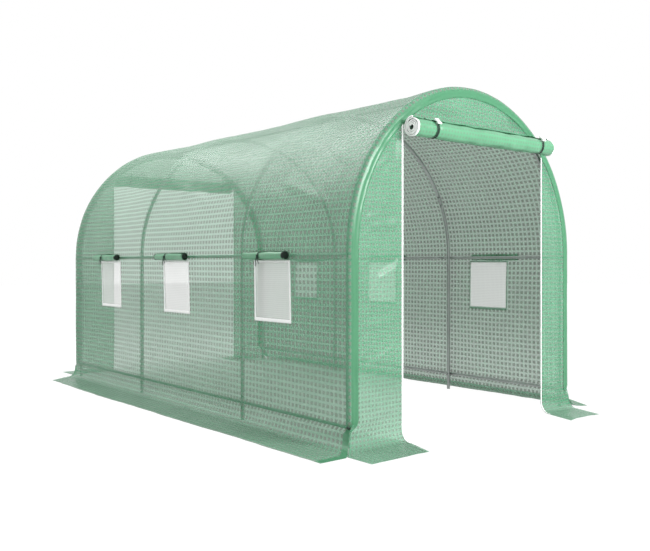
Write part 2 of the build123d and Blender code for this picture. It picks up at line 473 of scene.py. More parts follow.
@dataclass(frozen=True)
class Finishes:
    """Every finish of the tunnel, made once."""

    wall_film: bpy.types.Material
    end_film: bpy.types.Material
    rolled_film: bpy.types.Material
    dark_film: bpy.types.Material
    net: bpy.types.Material
    steel: bpy.types.Material
    tape: bpy.types.Material
    webbing: bpy.types.Material
    white_plastic: bpy.types.Material
    dark_plastic: bpy.types.Material

    @classmethod
    def make(cls) -> "Finishes":
        """Build the materials."""
        closer_grid = {"pitch": 0.0254, "thread_width": 0.0125}
        return cls(
            # The film of the sides and the roof.
            wall_film=WovenFilm("laminated_woven_film").material(),
            # The same film with the closer grid of the ends, which makes them look denser.
            end_film=WovenFilm("laminated_woven_end_film", **closer_grid).material(),
            # The same film rolled up many turns thick. Nothing shows through, so it is a
            # fuller green, and its small crumples catch the light.
            rolled_film=WovenFilm(
                "rolled_laminated_film",
                thread="#5B9C76",
                panel="#628B6F",
                roughness=0.3,
                crumple=0.007,
                crumple_size=0.07,
                layered=True,
                **closer_grid,
            ).material(),
            # Painted shade: a dull green, near black, that stands for the film's cut edges in the
            # shade inside a roll.
            dark_film=PlainFinish("painted_shade_film_edge", "#081C12", 0.8).material(),
            net=InsectNet("knitted_insect_net").material(),
            # Steel tube, rolled and then zinc-coated: a soft grey shine, a little patchy.
            steel=PlainFinish(
                "galvanised_steel", "#979D9A", 0.38, metallic=0.85, grain=0.006
            ).material(),
            # Woven polyester tape: matt, even, and the whitest thing on the tunnel.
            tape=PlainFinish("woven_polyester_tape", "#FBFCFB", 0.6, mottle=0.04).material(),
            # Woven webbing in dark green: matt, and all but black.
            webbing=PlainFinish("woven_dark_green_webbing", "#0E2C20", 0.8).material(),
            # Moulded plastic: white with a satin shine.
            white_plastic=PlainFinish("moulded_white_plastic", "#F8FAF8", 0.4).material(),
            # Moulded plastic: dark grey green with a duller satin shine.
            dark_plastic=PlainFinish("moulded_dark_plastic", "#2B3B33", 0.45).material(),
        )


def flat_grid(low: Flat, high: Flat, cells: tuple[int, int]) -> bmesh.types.BMesh:
    """Make a flat rectangle of even cells.

    Args:
        low: lowest corner of the cut.
        high: highest corner of the cut.
        cells: number of cells each way.

    Returns:
        A mesh in the cut's own plane.
    """
    bm = bmesh.new()
    bmesh.ops.create_grid(bm, x_segments=cells[0], y_segments=cells[1], size=0.5)
    size = (high[0] - low[0], high[1] - low[1], 1.0)
    middle = ((high[0] + low[0]) / 2, (high[1] + low[1]) / 2, 0.0)
    bmesh.ops.scale(bm, vec=size, verts=bm.verts)
    bmesh.ops.translate(bm, vec=middle, verts=bm.verts)
    return bm


def score(
    bm: bmesh.types.BMesh, point: Flat, normal: Flat, clear: bool = False
) -> None:
    """Cut a flat mesh along a line.

    Args:
        bm: the flat mesh.
        point: a point of the line.
        normal: the direction square to the line.
        clear: whether what lies on the normal's side goes away.
    """
    bmesh.ops.bisect_plane(
        bm,
        geom=bm.verts[:] + bm.edges[:] + bm.faces[:],
        dist=1e-5,
        plane_co=(*point, 0.0),
        plane_no=(*normal, 0.0),
        clear_outer=clear,
    )


def cut_hole(bm: bmesh.types.BMesh, low: Flat, high: Flat) -> None:
    """Cut a rectangular hole in a flat mesh.

    Args:
        bm: the flat mesh.
        low: lowest corner of the hole.
        high: highest corner of the hole.
    """
    for corner in (low, high):
        score(bm, corner, (1.0, 0.0))
        score(bm, corner, (0.0, 1.0))
    inside = [
        f
        for f in bm.faces
        if all(a < c < b for a, c, b in zip(low, f.calc_center_median(), high))
    ]
    bmesh.ops.delete(bm, geom=inside, context="FACES")


def hang(bm: bmesh.types.BMesh, place: Hang, lift: float = 0.0) -> float:
    """Keep the flat cut as a map, then move the mesh to where it hangs.

    Args:
        bm: the flat mesh.
        place: takes a place on the cut and a lift off the cloth to a point.
        lift: distance off the cloth.

    Returns:
        The cut's flat area, in square metres.
    """
    cut_area = sum(f.calc_area() for f in bm.faces)
    cut_map = bm.loops.layers.uv.new(CUT_MAP)
    for face in bm.faces:
        face.smooth = True
        for loop in face.loops:
            loop[cut_map].uv = loop.vert.co.xy
    for vert in bm.verts:
        vert.co = place(vert.co.x, vert.co.y, lift)
    return cut_area


def to_object(
    bm: bmesh.types.BMesh, name: str, materials: Sequence[bpy.types.Material]
) -> bpy.types.Object:
    """Turn a finished mesh into an object that rides on the tunnel.

    Args:
        bm: the mesh, which is freed.
        name: the piece's name.
        materials: its finishes, in the order of the faces' material numbers.

    Returns:
        The new object, at the origin.
    """
    mesh = bpy.data.meshes.new(name)
    bm.to_mesh(mesh)
    bm.free()
    for material in materials:
        mesh.materials.append(material)
    piece = bpy.data.objects.new(name, mesh)
    bpy.context.scene.collection.objects.link(piece)
    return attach(piece, "root")


def join(whole: bmesh.types.BMesh, part: bmesh.types.BMesh) -> None:
    """Add one mesh to another and free it.

    Args:
        whole: mesh that grows.
        part: mesh that goes into it.
    """
    carrier = bpy.data.meshes.new("carrier")
    part.to_mesh(carrier)
    part.free()
    whole.from_mesh(carrier)
    bpy.data.meshes.remove(carrier)


def ring(thickness: float, radius: float, sides: int, steps: int) -> bmesh.types.BMesh:
    """Spin a round section into a closed ring that lies flat.

    Args:
        thickness: radius of the section.
        radius: radius of the ring.
        sides: faces round the section.
        steps: faces round the ring.

    Returns:
        The ring, round the Z axis.
    """
    bm = bmesh.new()
    upright = Matrix.Translation((radius, 0, 0)) @ Matrix.Rotation(math.pi / 2, 4, "X")
    bmesh.ops.create_circle(bm, segments=sides, radius=thickness, matrix=upright)
    bmesh.ops.spin(
        bm, geom=bm.verts[:] + bm.edges[:], axis=(0, 0, 1), cent=(0, 0, 0),
        angle=math.tau, steps=steps, use_merge=True,
    )
    bmesh.ops.recalc_face_normals(bm, faces=bm.faces)
    for face in bm.faces:
        face.smooth = True
    return bm


def add_tube(
    bm: bmesh.types.BMesh,
    path: Path,
    reach: tuple[float, float],
    radius: float,
    rings: int,
    sides: int,
) -> None:
    """Add a round bar with eased ends along a path.

    Args:
        bm: mesh that gets the bar.
        path: the centre line.
        reach: where the bar starts and ends on it.
        radius: the bar's radius.
        rings: cells along it.
        sides: cells round it.
    """
    part = flat_grid((reach[0], 0.0), (reach[1], math.tau), (rings, sides))
    ease = min(0.0012, radius / 5)
    for face in part.faces:
        face.smooth = True
    for vert in part.verts:
        centre, first, second = path(vert.co.x)
        at_end = min(vert.co.x - reach[0], reach[1] - vert.co.x) < 1e-5
        wide = radius - ease if at_end else radius
        turn = vert.co.y
        vert.co = centre + (first * math.cos(turn) + second * math.sin(turn)) * wide
    bmesh.ops.remove_doubles(part, verts=part.verts, dist=1e-5)
    rims = [edge for edge in part.edges if edge.is_boundary]
    bmesh.ops.holes_fill(part, edges=rims, sides=0)
    bmesh.ops.recalc_face_normals(part, faces=part.faces)
    join(bm, part)


def thicken(piece: bpy.types.Object, thickness: float, offset: float = -1.0) -> None:
    """Give a sheet its thickness.

    Args:
        piece: the sheet.
        thickness: its real thickness.
        offset: -1 grows inwards from the modelled face and 1 outwards.
    """
    solid = piece.modifiers.new("thickness", "SOLIDIFY")
    solid.thickness = thickness
    solid.offset = offset
    solid.use_even_offset = False


@dataclass(frozen=True)
class Crease:
    """A fold line pressed into a cut.

    Attributes:
        start: one end on the cut.
        end: the other end.
        depth: height of the ridge, below 0 for a valley.
        width: half its width.
    """

    start: Flat
    end: Flat
    depth: float
    width: float

    def height(self, across: float, along: float) -> float:
        """Read the fold's height at a place on the cut.

        Args:
            across: first coordinate on the cut.
            along: second coordinate on the cut.

        Returns:
            The height off the cloth.
        """
        run = (self.end[0] - self.start[0], self.end[1] - self.start[1])
        to = (across - self.start[0], along - self.start[1])
        length = math.hypot(*run)
        share = (to[0] * run[0] + to[1] * run[1]) / length**2
        off = (to[0] * run[1] - to[1] * run[0]) / length
        if abs(off) > 3 * self.width or not -0.2 < share < 1.2:
            return 0.0
        fade = smooth(-0.2, 0.25, share) * smooth(1.2, 0.75, share)
        return self.depth * fade * math.exp(-((off / self.width) ** 2))


@dataclass(frozen=True)
class Crumple:
    """How a hung cloth strays from its smooth form.

    Attributes:
        seed: which part of the noise is read.
        swell: height of the broad swells.
        swell_size: size of one swell.
        ripple: height of the finer ripples.
        ripple_size: size of one ripple.
        creases: folds given one by one.
    """

    seed: float
    swell: float = 0.004
    swell_size: float = 0.45
    ripple: float = 0.0015
    ripple_size: float = 0.12
    creases: tuple[Crease, ...] = ()

    def height(self, across: float, along: float) -> float:
        """Read the height off the smooth form at a place on the cut.

        Args:
            across: first coordinate on the cut.
            along: second coordinate on the cut.

        Returns:
            The height, in metres.
        """
        broad = Vector((across / self.swell_size, along / self.swell_size, self.seed))
        fine = Vector((across / self.ripple_size, along / self.ripple_size, self.seed))
        total = self.swell * noise.noise(broad) + self.ripple * noise.noise(fine)
        return total + sum(fold.height(across, along) for fold in self.creases)


@dataclass(frozen=True)
class Tunnel:
    """The tunnel's form, which every cloth is hung on.

    Attributes:
        half_width: from the middle to the outside of a wall.
        half_length: from the middle to the outside of an end.
        springing: height at which the wall turns into the arch.
        skirt_tip: from the middle to the outer edge of the side skirt.
        end_tip: from the middle to the outer edge of the end flaps.
        hoops: where the hoops stand, along Y.
        flare: radius of the turn from a wall to the ground.
        corner: radius of the turn from a wall to an end.
        seam_overlap: how far the cover laps over an end beyond that turn.
        lie: height of the film that lies on the ground.
        roof_sag: how far the roof sinks between two hoops.
        wall_sag: how far a wall sinks between two hoops.
        lower_rail: height of the lower rail.
        middle_rail: height of the middle rail.
        hoop_line: radius of the hoops' centre line about the springing.
        rail_line: from the middle to a side rail's centre line.
    """

    half_width: float
    half_length: float
    springing: float
    skirt_tip: float
    end_tip: float
    hoops: tuple[float, ...]
    lower_rail: float
    middle_rail: float
    hoop_line: float
    rail_line: float
    flare: float = 0.07
    corner: float = 0.022
    seam_overlap: float = 0.045
    lie: float = 0.0022
    roof_sag: float = 0.022
    wall_sag: float = 0.011

    @classmethod
    def from_frame(cls) -> "Tunnel":
        """Read the tunnel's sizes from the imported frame."""
        wall_low, wall_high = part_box("left_wall_cover")
        boxes = [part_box(name) for name in HOOPS]
        return cls(
            half_width=-wall_low.x,
            half_length=-wall_low.y,
            springing=wall_high.z,
            skirt_tip=-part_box("left_ground_skirt")[0].x,
            end_tip=-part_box("front_ground_skirts")[0].y,
            hoops=tuple((low.y + high.y) / 2 for low, high in boxes),
            lower_rail=sum(corner.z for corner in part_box("left_lower_rail")) / 2,
            middle_rail=sum(corner.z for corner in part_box("left_middle_rail")) / 2,
            hoop_line=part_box("front_hoop")[1].x - HOOP_TUBE / 2,
            rail_line=sum(corner.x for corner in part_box("right_middle_rail")) / 2,
        )

    @property
    def arch_run(self) -> float:
        """Length of film from the crown to the springing."""
        return self.half_width * math.pi / 2

    @property
    def wall_run(self) -> float:
        """Length of film from the springing to the flare."""
        return self.springing - self.flare - self.lie

    @property
    def flare_run(self) -> float:
        """Length of film round the flare."""
        return self.flare * math.pi / 2

    @property
    def side_run(self) -> float:
        """Length of film from the crown to the skirt's outer edge."""
        ground = self.skirt_tip - self.half_width - self.flare
        return self.arch_run + self.wall_run + self.flare_run + ground

    @property
    def end_run(self) -> float:
        """Half the cover's length, round both corners and over the seams."""
        turn = self.corner * (math.pi / 2 - 1)
        return self.half_length + turn + self.seam_overlap

    def height_to_run(self, height: float) -> float:
        """Distance along the film from the crown down to a height on the wall."""
        return self.arch_run + self.springing - height

    def foot(self, run: float) -> tuple[float, float, float]:
        """Follow the film from the top of the flare out over the ground.

        Args:
            run: length of film below the top of the flare.

        Returns:
            How far out it is, how high, and the turn so far, in radians.
        """
        if run <= 0:
            return 0.0, self.lie + self.flare - run, 0.0
        if run < self.flare_run:
            turn = run / self.flare
            out = self.flare * (1 - math.cos(turn))
            return out, self.lie + self.flare * (1 - math.sin(turn)), turn
        return self.flare + run - self.flare_run, self.lie, math.pi / 2

    def across(self, s: float) -> tuple[Vector, Vector]:
        """Follow the cover's cross-section.

        Args:
            s: length of film from the crown, positive towards +X.

        Returns:
            The point, and the direction square to the film, outwards.
        """
        hand = 1.0 if s >= 0 else -1.0
        if abs(s) <= self.arch_run:
            angle = abs(s) / self.half_width
            normal = Vector((hand * math.sin(angle), 0.0, math.cos(angle)))
            return normal * self.half_width + Vector((0, 0, self.springing)), normal
        out, height, turn = self.foot(abs(s) - self.arch_run - self.wall_run)
        point = Vector((hand * (self.half_width + out), 0.0, height))
        return point, Vector((hand * math.cos(turn), 0.0, math.sin(turn)))

    def gathered(self, y: float) -> float:
        """How far the side skirt is drawn up into pleats: 0 at the front and 1 at the rear."""
        return smooth(0.35, 1.0, y / self.half_length)

    def bay_share(self, y: float) -> float:
        """How far a place is from its hoops: 0 at a hoop and 1 midway between two."""
        for low, high in zip(self.hoops, self.hoops[1:]):
            if low < y < high:
                return math.sin(math.pi * (y - low) / (high - low)) ** 1.3
        return 0.0

    def sag(self, s: float, y: float) -> float:
        """How far the film sinks between hoops and rails.

        Args:
            s: length of film from the crown.
            y: place along the tunnel.

        Returns:
            The depth, in metres.
        """
        bay = self.bay_share(y)
        if abs(s) < self.arch_run:
            return self.roof_sag * bay * math.sin(2 * abs(s) / self.half_width)
        height = self.springing - (abs(s) - self.arch_run)
        share = (height - self.lower_rail) / (self.middle_rail - self.lower_rail)
        if 0 < share < 1:
            return self.wall_sag * bay * math.sin(math.pi * share)
        return 0.0

    def upright(self, height: float) -> float:
        """1 where the cloth is upright, easing to 0 where it turns to the ground."""
        return smooth(self.flare + self.lie, 2 * self.flare, height)

    def side_edges(self, out: float, side: Side) -> tuple[float, float]:
        """Where the side skirt starts and ends along Y.

        Args:
            out: distance out from the wall.
            side: which side of the tunnel.

        Returns:
            The front and the rear edge.
        """
        reach = self.skirt_tip - self.half_width
        rear = self.half_length - 0.158 * out / reach
        if side is Side.LEFT:
            return -self.half_length - min(out, 0.12), rear
        back = max(0.0, out - 0.12) * 1.7
        return -self.half_length - 0.6 * min(out, 0.12) + back, rear


COVER_CREASES = (
    Crease((-1.05, -1.66), (-0.78, -1.20), 0.009, 0.024),
    Crease((-0.92, -1.42), (-0.70, -0.98), -0.007, 0.022),
    Crease((-1.30, -1.58), (-1.12, -1.10), 0.008, 0.024),
    Crease((-0.60, -1.55), (-0.42, -1.00), 0.007, 0.030),
    Crease((-1.22, -0.30), (-1.02, 0.30), 0.007, 0.030),
    Crease((-0.95, 0.75), (-0.72, 1.25), 0.008, 0.030),
    Crease((-1.30, 1.30), (-1.05, 1.70), 0.007, 0.024),
    Crease((-1.78, -1.20), (-1.66, -1.55), 0.006, 0.018),
    Crease((0.60, -1.50), (0.95, -1.05), 0.008, 0.026),
    Crease((0.75, 0.35), (1.10, 0.80), 0.007, 0.028),
    Crease((1.20, 1.20), (0.90, 1.60), 0.008, 0.026),
)


@dataclass
class MainCover:
    """The long cloth: left skirt, wall, roof, wall and right skirt in one piece.

    Attributes:
        tunnel: the form that it hangs on.
        cells: cells across and along.
        crowding: how much finer the cells are at the two ends.
        thickness: thickness of the film.
        hem: width of the doubled band at each end.
        draw_up: how much narrower the skirts are at the rear.
        pleat: height of the pleats that take up that width.
        crumple: how it strays from its smooth form.
        openings: the windows, as two corners each on the cut.
    """

    tunnel: Tunnel
    cells: tuple[int, int] = (240, 186)
    crowding: float = 0.84
    thickness: float = 0.0006
    hem: float = 0.050
    draw_up: float = 0.030
    pleat: float = 0.007
    crumple: Crumple = field(
        default_factory=lambda: Crumple(3.7, 0.006, 0.42, 0.0022, 0.11, COVER_CREASES)
    )
    openings: list[tuple[Flat, Flat]] = field(default_factory=list)

    def point(self, s: float, y: float, lift: float) -> Vector:
        """Take a place on the cut to where it hangs.

        Args:
            s: length of film from the crown.
            y: length of film from the middle of the tunnel.
            lift: distance off the cloth, outwards.

        Returns:
            The point.
        """
        t = self.tunnel
        base, normal = t.across(s)
        stray = self.stray(s, y, base.z) - t.sag(s, y)
        on_wall = t.upright(base.z)
        start = t.half_length - t.corner
        turn = min(max(0.0, abs(y) - start) / t.corner, math.pi / 2)
        past = max(0.0, abs(y) - start - t.corner * math.pi / 2)
        way = 1.0 if y > 0 else -1.0
        along = Vector((0.0, way, 0.0))
        facing = normal * math.cos(turn) + along * math.sin(turn)
        wrapped = base - normal * (t.corner * (1 - math.cos(turn)) + past)
        wrapped.y = way * (min(abs(y), start) + t.corner * math.sin(turn))
        wrapped += facing * (stray + lift + self.seam(s, past))
        if on_wall >= 1.0:
            return wrapped
        side = Side.RIGHT if s > 0 else Side.LEFT
        out = abs(base.x) - t.half_width
        edges = t.side_edges(out, side)
        flat = base + normal * (stray + lift)
        flat.y = (edges[1] if y > 0 else -edges[0]) * y / t.end_run
        gathered = t.gathered(flat.y)
        reach = t.skirt_tip - t.half_width
        flat.x -= side.value * self.draw_up * gathered * out / reach
        flat.z += self.pleats(out, flat.y) * gathered
        return flat.lerp(wrapped, on_wall)

    def pleats(self, out: float, y: float) -> float:
        """Height of the pleats that run along the skirt where it is drawn up.

        Args:
            out: distance out from the wall.
            y: place along the tunnel.

        Returns:
            The height above the ground.
        """
        fold = 0.5 + 0.5 * math.sin(math.tau * (out + 0.05 * y) / 0.046)
        return self.pleat * fold * fold * smooth(0.0, 0.05, out) * smooth(0.25, 0.16, out)

    def freedom(self, s: float, y: float) -> float:
        """How freely the film strays: 0 at a window, whose frame holds it flat, and 1 away.

        Args:
            s: length of film from the crown.
            y: length of film from the middle of the tunnel.

        Returns:
            The share.
        """
        free = 1.0
        for low, high in self.openings:
            beside = max(low[0] - s, s - high[0], low[1] - y, y - high[1])
            free = min(free, smooth(0.02, 0.10, beside))
        return free

    def stray(self, s: float, y: float, height: float) -> float:
        """Height of the folds at a place on the cut.

        Args:
            s: length of film from the crown.
            y: length of film from the middle of the tunnel.
            height: height above the ground.

        Returns:
            The height, which fades at the ends and is never below the ground.
        """
        t = self.tunnel
        rise = self.crumple.height(s, y) * smooth(t.end_run, t.end_run - 0.12, abs(y))
        rise *= self.freedom(s, y)
        if height < t.flare:
            return abs(rise) + 0.002 * smooth(t.flare, t.lie, height)
        return rise

    def seam(self, s: float, past: float) -> float:
        """Height of the band sewn over the end, with its two rows of stitches.

        Args:
            s: length of film from the crown.
            past: how far the place is over the end.

        Returns:
            The height off the end cloth.
        """
        if past <= 0:
            return 0.0
        pucker = noise.noise(Vector((s / 0.045, past / 0.03, 2.2)))
        streak = noise.noise(Vector((s / 0.21, (past + 0.10 * s) / 0.016, 5.3)))
        wave = noise.noise(Vector((s / 0.16, 0.0, 7.1)))
        first = math.exp(-(((past - 0.009 - 0.002 * wave) / 0.004) ** 2))
        second = math.exp(-(((past - 0.036 - 0.005 * wave) / 0.005) ** 2))
        rise = 0.0014 * first + (0.0026 + 0.0016 * wave) * second
        folds = 0.0016 * pucker + 0.0026 * streak
        return 0.0022 * smooth(0.0, 0.006, past) + max(0.0, rise + folds)

    def spread(self, y: float) -> float:
        """Crowd the even rows of cells towards the two ends."""
        share = y / self.tunnel.end_run
        eased = lerp(share, math.sin(share * math.pi / 2), self.crowding)
        return eased * self.tunnel.end_run

    def build(self, sewn_on: list[bpy.types.Object], finish: bpy.types.Material) -> None:
        """Cut, hang and dress the cover.

        Args:
            sewn_on: tapes sewn to it; not used.
            finish: the film.
        """
        t = self.tunnel
        bm = flat_grid((-t.side_run, -t.end_run), (t.side_run, t.end_run), self.cells)
        for vert in bm.verts:
            vert.co.y = self.spread(vert.co.y)
        for low, high in self.openings:
            cut_hole(bm, low, high)
        doubled = bm.verts.layers.float.new("doubled")
        for vert in bm.verts:
            from_end = t.end_run - abs(vert.co.y)
            vert[doubled] = smooth(self.hem + 0.004, self.hem - 0.004, from_end)
        area = hang(bm, self.point)
        cover = to_object(bm, "tunnel_cover", [finish])
        thicken(cover, self.thickness)
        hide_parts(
            "left_ground_skirt", "left_wall_cover", "left_roof_cover",
            "roof_crown_cover", "right_roof_cover", "right_wall_cover", "right_ground_skirt",
        )
        log.info("tunnel cover: %.2f square metres of film", area)


@dataclass
class EndCloth:
    """One end: gable, two panels and their ground flaps in one piece, round the doorway.

    Attributes:
        tunnel: the form that it hangs on.
        end: which end of the tunnel.
        door: the doorway's left and right edges.
        door_top: the doorway's height.
        crumple: how it strays from its smooth form.
        cells: cells across and up.
        arch_cuts: straight cuts that make the arch.
        thickness: thickness of the film.
        drift: how far the flaps' outer edges lie to the left.
        zip_width: width of the tape down each edge of the doorway.
    """

    tunnel: Tunnel
    end: End
    door: tuple[float, float]
    door_top: float
    crumple: Crumple
    cells: tuple[int, int] = (190, 220)
    arch_cuts: int = 90
    thickness: float = 0.0006
    drift: float = 0.095
    zip_width: float = 0.009

    @property
    def word(self) -> str:
        """The end's name in small letters."""
        return self.end.word

    @property
    def edge(self) -> float:
        """From the middle to the seam."""
        return self.tunnel.half_width - self.tunnel.corner

    @property
    def bottom(self) -> float:
        """The cut's lowest edge, which lies out on the ground."""
        t = self.tunnel
        return t.lie - t.flare_run - (t.end_tip - t.half_length - t.flare) + t.flare

    def sideways(self, x: float, out: float, height: float) -> float:
        """Shift a place on the cut as the flap drifts and the corner opens out.

        Args:
            x: place across the cut.
            out: distance out from the end.
            height: height above the ground.

        Returns:
            The place across the tunnel.
        """
        t = self.tunnel
        drift = self.drift * out / (t.end_tip - t.half_length)
        inner = self.door[1] if x > 0 else -self.door[0]
        share = max(0.0, abs(x) - inner) / (self.edge - inner)
        open_out = t.corner * (1 - t.upright(height)) * share
        if x > 0:
            return x + open_out - drift
        reach = min(out, 0.107) if self.end is End.FRONT else 0.0
        return x - open_out - drift - max(0.0, reach - drift) * share

    def depth(self, x: float, up: float) -> float:
        """How far a place on the cut is from the seam."""
        if up > self.tunnel.springing:
            return self.edge - math.hypot(x, up - self.tunnel.springing)
        return self.edge - abs(x)

    def point(self, x: float, up: float, lift: float) -> Vector:
        """Take a place on the cut to where it hangs.

        Args:
            x: place across the cut.
            up: height on the cut, which runs on below the flare.
            lift: distance off the cloth, outwards.

        Returns:
            The point.
        """
        t = self.tunnel
        out, height, turn = t.foot(t.flare + t.lie - up)
        beside = max(self.door[0] - x, x - self.door[1], up - self.door_top)
        held = smooth(0.03, 0.09, self.depth(x, up)) * smooth(0.0, 0.06, beside)
        rise = self.crumple.height(x, up) * held
        if height < t.flare:
            rise = abs(rise) + 0.0015 * smooth(t.flare, t.lie, height)
        off = rise + lift
        forward = t.half_length + out + off * math.cos(turn)
        return Vector((
            self.sideways(x, out, height),
            self.end.value * forward,
            height + off * math.sin(turn),
        ))

    def build(self, film: bpy.types.Material, tape: bpy.types.Material) -> None:
        """Cut, hang and dress the end and its zips.

        Args:
            film: the film.
            tape: the zips' tape.
        """
        t = self.tunnel
        top = t.springing + self.edge
        bm = flat_grid((-self.edge, self.bottom), (self.edge, top), self.cells)
        for cut in range(1, self.arch_cuts):
            angle = math.pi * cut / self.arch_cuts
            way = (math.cos(angle), math.sin(angle))
            rim = (way[0] * self.edge, t.springing + way[1] * self.edge)
            score(bm, rim, way, clear=True)
        cut_hole(bm, (self.door[0], self.bottom - 1), (self.door[1], self.door_top))
        bm.verts.layers.float.new("doubled")
        area = hang(bm, self.point)
        if self.end is End.REAR:
            bmesh.ops.reverse_faces(bm, faces=bm.faces)
        cloth = to_object(bm, f"{self.word}_end_cloth", [film])
        thicken(cloth, self.thickness)
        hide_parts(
            f"{self.word}_left_panel", f"{self.word}_right_panel", f"{self.word}_gable",
            f"{self.word}_ground_skirts",
        )
        f"{self.word}_hoop"
        self.zips(tape)
        log.info("%s end cloth: %.2f square metres of film", self.word, area)

    def zips(self, tape: bpy.types.Material) -> bpy.types.Object:
        """Sew a zip tape down both edges of the doorway.

        Args:
            tape: the tape's finish.

        Returns:
            The two tapes as one piece.
        """
        t = self.tunnel
        foot = t.lie + t.flare - t.flare_run - 0.02
        both = bmesh.new()
        for edge, way in zip(self.door, (-1, 1)):
            low, high = sorted((edge - way * 0.001, edge + way * self.zip_width))
            bm = flat_grid((low, foot), (high, self.door_top), (7, 160))

            def teeth(x: float, up: float, lift: float, edge: float = edge) -> Vector:
                coil = 0.0016 * math.exp(-(((x - edge) / 0.003) ** 2))
                return self.point(x, up, lift + coil)

            hang(bm, teeth, 0.0022)
            if self.end is End.REAR:
                bmesh.ops.reverse_faces(bm, faces=bm.faces)
            join(both, bm)
        zips = to_object(both, f"{self.word}_zip_tapes", [tape])
        thicken(zips, 0.0016)
        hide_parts(f"{self.word}_door_zips")
        return zips


@dataclass
class Steelwork:
    """Hoops and rails of round tube, with their sleeves, caps and bolts.

    Attributes:
        tunnel: the form that they carry.
        sides: faces round a tube.
        joint_angle: where a sleeve's mouth is, up from the springing.
        sleeve: length of a sleeve.
        swell: how much a sleeve is wider than its tube, in radius.
        joint_offset: from a hoop to the rail joint behind it.
        cap_wall: wall of a rail's end cap.
        cap_length: length of a rail's end cap.
    """

    tunnel: Tunnel
    sides: int = 18
    joint_angle: float = math.radians(28.0)
    sleeve: float = 0.060
    swell: float = 0.0015
    joint_offset: float = 0.090
    cap_wall: float = 0.0015
    cap_length: float = 0.014

    def build(self, finishes: Finishes) -> None:
        """Make every tube, cap and bolt.

        Args:
            finishes: the tunnel's finishes.
        """
        for name, station in zip(HOOPS, self.tunnel.hoops):
            self.hoop(name, station, finishes.steel)
        self.rails(finishes.steel, finishes.dark_plastic)
        self.bolts(finishes.steel)

    def hoop_path(self, station: float) -> Path:
        """Centre line of one hoop from the left foot to the right.

        Args:
            station: the hoop's place along Y.

        Returns:
            A function of the length from the left foot.
        """
        t = self.tunnel

        def along(length: float) -> tuple[Vector, Vector, Vector]:
            arch = length - t.springing
            angle = min(math.pi, max(0.0, arch / t.hoop_line))
            out = Vector((-math.cos(angle), 0.0, math.sin(angle)))
            centre = Vector((0.0, station, t.springing)) + out * t.hoop_line
            centre.z += min(0.0, arch) - max(0.0, arch - math.pi * t.hoop_line)
            return centre, out, Vector((0.0, 1.0, 0.0))

        return along

    def hoop(self, name: str, station: float, steel: bpy.types.Material) -> None:
        """Make one hoop: two legs with sleeves and the crown between them.

        Args:
            name: the CAD node that it stands for.
            station: the hoop's place along Y.
            steel: the tube's finish.
        """
        t = self.tunnel
        path = self.hoop_path(station)
        radius = HOOP_TUBE / 2
        total = 2 * t.springing + math.pi * t.hoop_line
        mouth = t.springing + self.joint_angle * t.hoop_line
        bm = bmesh.new()
        add_tube(bm, path, (0.0, mouth - self.sleeve), radius, 70, self.sides)
        add_tube(bm, path, (mouth, total - mouth), radius, 84, self.sides)
        add_tube(bm, path, (total - mouth + self.sleeve, total), radius, 70, self.sides)
        for start in (mouth - self.sleeve, total - mouth):
            wide = radius + self.swell
            add_tube(bm, path, (start, start + self.sleeve), wide, 8, self.sides)
        piece = to_object(bm, f"{name}_tubes", [steel])
        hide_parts(name)
        log.info("%s: %.2f metres of tube", name, total)

    def rails(self, steel: bpy.types.Material, plastic: bpy.types.Material) -> None:
        """Make the five rails, each of three plugged lengths, and their end caps.

        Args:
            steel: the tubes' finish.
            plastic: the caps' finish.
        """
        t = self.tunnel
        caps = bmesh.new()
        places = {"ridge_rail": (0.0, t.springing + t.rail_line)}
        for side in Side:
            for level, height in (("middle", t.middle_rail), ("lower", t.lower_rail)):
                name = f"{side.word}_{level}_rail"
                places[name] = (side.value * t.rail_line, height)
        for name, (x, z) in places.items():
            low, high = (corner.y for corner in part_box(name))
            joints = [t.hoops[1] + self.joint_offset, t.hoops[2] + self.joint_offset]

            def along(length: float, x: float = x, z: float = z) -> tuple[Vector, Vector, Vector]:
                return Vector((x, length, z)), UP, Vector((1.0, 0.0, 0.0))

            bm = bmesh.new()
            radius = RAIL_TUBE / 2
            for start, end in zip([low, *joints], [*joints, high]):
                add_tube(bm, along, (start, end - 0.0006), radius, 24, self.sides)
            for joint in joints:
                add_tube(bm, along, (joint - 0.02, joint + 0.02), radius - 0.002, 2, self.sides)
            piece = to_object(bm, f"{name}_tubes", [steel])
            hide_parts(name)
            wide = radius + self.cap_wall
            for end, way in ((low, 1), (high, -1)):
                back = end - way * self.cap_wall
                reach = sorted((back, back + way * self.cap_length))
                add_tube(caps, along, (reach[0], reach[1]), wide, 3, self.sides)
        piece = to_object(caps, "rail_caps", [plastic])
        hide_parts("rail_end_caps")
        log.info("%d rails with their caps", len(places))

    def bolts(self, steel: bpy.types.Material) -> None:
        """Put a bolt and its nut at every crossing and every sleeve.

        Args:
            steel: their finish.
        """
        t = self.tunnel
        quarter = t.springing + math.pi * t.hoop_line / 2
        total = 2 * t.springing + math.pi * t.hoop_line
        mouth = t.springing + self.joint_angle * t.hoop_line - self.sleeve / 2
        crossings = [t.lower_rail, t.middle_rail, quarter, total - t.middle_rail]
        bm = bmesh.new()
        for station in t.hoops:
            path = self.hoop_path(station)
            for length in (*crossings, total - t.lower_rail, mouth, total - mouth):
                centre, out, _ = path(length)
                foot = centre - out * (HOOP_TUBE / 2 + self.swell)
                turn = out.to_track_quat("Z", "Y").to_matrix().to_4x4()
                for radius, depth, faces in ((0.0055, 0.005, 6), (0.003, 0.011, 10)):
                    middle = foot - out * (depth / 2 - 0.002)
                    bmesh.ops.create_cone(
                        bm, cap_ends=True, segments=faces, radius1=radius, radius2=radius,
                        depth=depth, matrix=Matrix.Translation(middle) @ turn,
                    )
        piece = to_object(bm, "frame_bolts", [steel])
        log.info("frame bolts in place")


